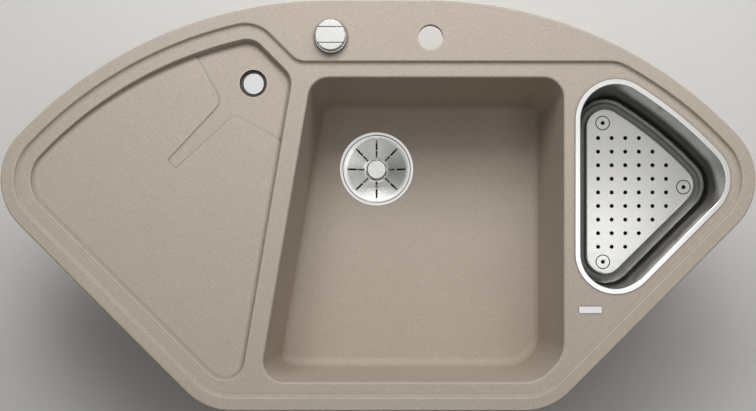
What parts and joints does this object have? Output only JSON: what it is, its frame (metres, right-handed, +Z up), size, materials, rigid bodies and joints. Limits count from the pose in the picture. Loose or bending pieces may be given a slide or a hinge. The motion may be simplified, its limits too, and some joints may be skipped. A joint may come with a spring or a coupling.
{
  "type": "corner kitchen sink",
  "caption": "Inset corner kitchen sink with a drainer, a deep main bowl with pop-up waste, and a small bowl that holds a steel bowl with a perforated plate.",
  "frame": {"origin": "middle of the outline, on the plane of the worktop's top that the rim lies on", "axes": "+X to the right along the sink's length, +Y towards the back corner of the room, +Z up"},
  "size_m": [1.0568, 0.575, 0.3125],
  "materials": {
    "composite": "matte stone composite, fine speckle, warm taupe",
    "steel_satin": "satin brushed stainless steel",
    "steel_polished": "polished stainless steel",
    "knob_chrome": "satin top, bright side",
    "cap_metal": "satin chrome",
    "black_plastic": "matte black plastic",
    "white_plastic": "white pipe plastic",
    "grey_plastic": "grey fitting plastic",
    "rubber": "soft black rubber",
    "foam": "closed-cell foam strip",
    "badge_silver": "bare satin plate",
    "zinc": "zinc-plated steel",
    "brass": "plain brass"
  },
  "bodies": {
    "sink": {"sink_body": "composite", "rim_seal": "foam", "badge_plate": "badge_silver", "clip_blocks": "grey_plastic", "clip_claws": "zinc", "clip_screws": "zinc", "knob_base": "steel_polished", "knob_washer": "rubber", "knob_backnut": "brass", "drive_housing": "black_plastic", "drive_cover": "black_plastic", "drive_gland": "grey_plastic", "overflow_collar": "black_plastic", "overflow_gasket": "rubber", "overflow_body": "white_plastic", "overflow_pipe": "white_plastic", "pipe_unions": "white_plastic", "waste_flange": "steel_polished", "flange_gasket": "rubber", "waste_gasket": "rubber", "waste_body": "white_plastic", "waste_cable_gland": "grey_plastic", "waste_screws": "zinc", "small_waste_flange": "steel_satin", "small_flange_gasket": "rubber", "small_gasket": "rubber", "small_waste_body": "white_plastic", "small_waste_screw": "zinc"},
    "knob": {"waste_knob": "knob_chrome", "knob_stem": "zinc", "cable_drum": "grey_plastic"},
    "lift_pin": {"lift_pin": "zinc"},
    "strainer": {"strainer_basket": "steel_polished", "basket_seal": "rubber"},
    "overflow_cap": {"overflow_cap": "cap_metal"},
    "steel_bowl": {"steel_bowl": "steel_polished"},
    "perforated_plate": {"perforated_plate": "steel_satin", "plate_feet": "steel_satin"},
    "small_plug": {"small_plug": "rubber"}
  },
  "joints": [
    {"name": "knob_turn", "type": "hinge", "parent": "sink", "child": "knob", "pos_m": [-0.066, 0.2355, 0.02], "axis": [0, 0, -1], "range_deg": [0, 90]},
    {"name": "pin_lift", "type": "slide", "parent": "sink", "child": "lift_pin", "axis": [0, 0, 1], "range_m": [0, 0.009]},
    {"name": "strainer_lift_out", "type": "slide", "parent": "lift_pin", "child": "strainer", "axis": [0, 0, 1], "range_m": [0, 0.06]},
    {"name": "cap_pull_off", "type": "slide", "parent": "sink", "child": "overflow_cap", "axis": [0, 0, 1], "range_m": [0, 0.03]},
    {"name": "steel_bowl_lift_out", "type": "slide", "parent": "sink", "child": "steel_bowl", "axis": [0, 0, 1], "range_m": [0, 0.12]},
    {"name": "plate_lift_out", "type": "slide", "parent": "steel_bowl", "child": "perforated_plate", "axis": [0, 0, 1], "range_m": [0, 0.1]},
    {"name": "plug_lift_out", "type": "slide", "parent": "sink", "child": "small_plug", "axis": [0, 0, 1], "range_m": [0, 0.03]}
  ],
  "couplings": [
    {"joint": "pin_lift", "follows": "knob_turn", "m_per_rad": 0.0057}
  ]
}
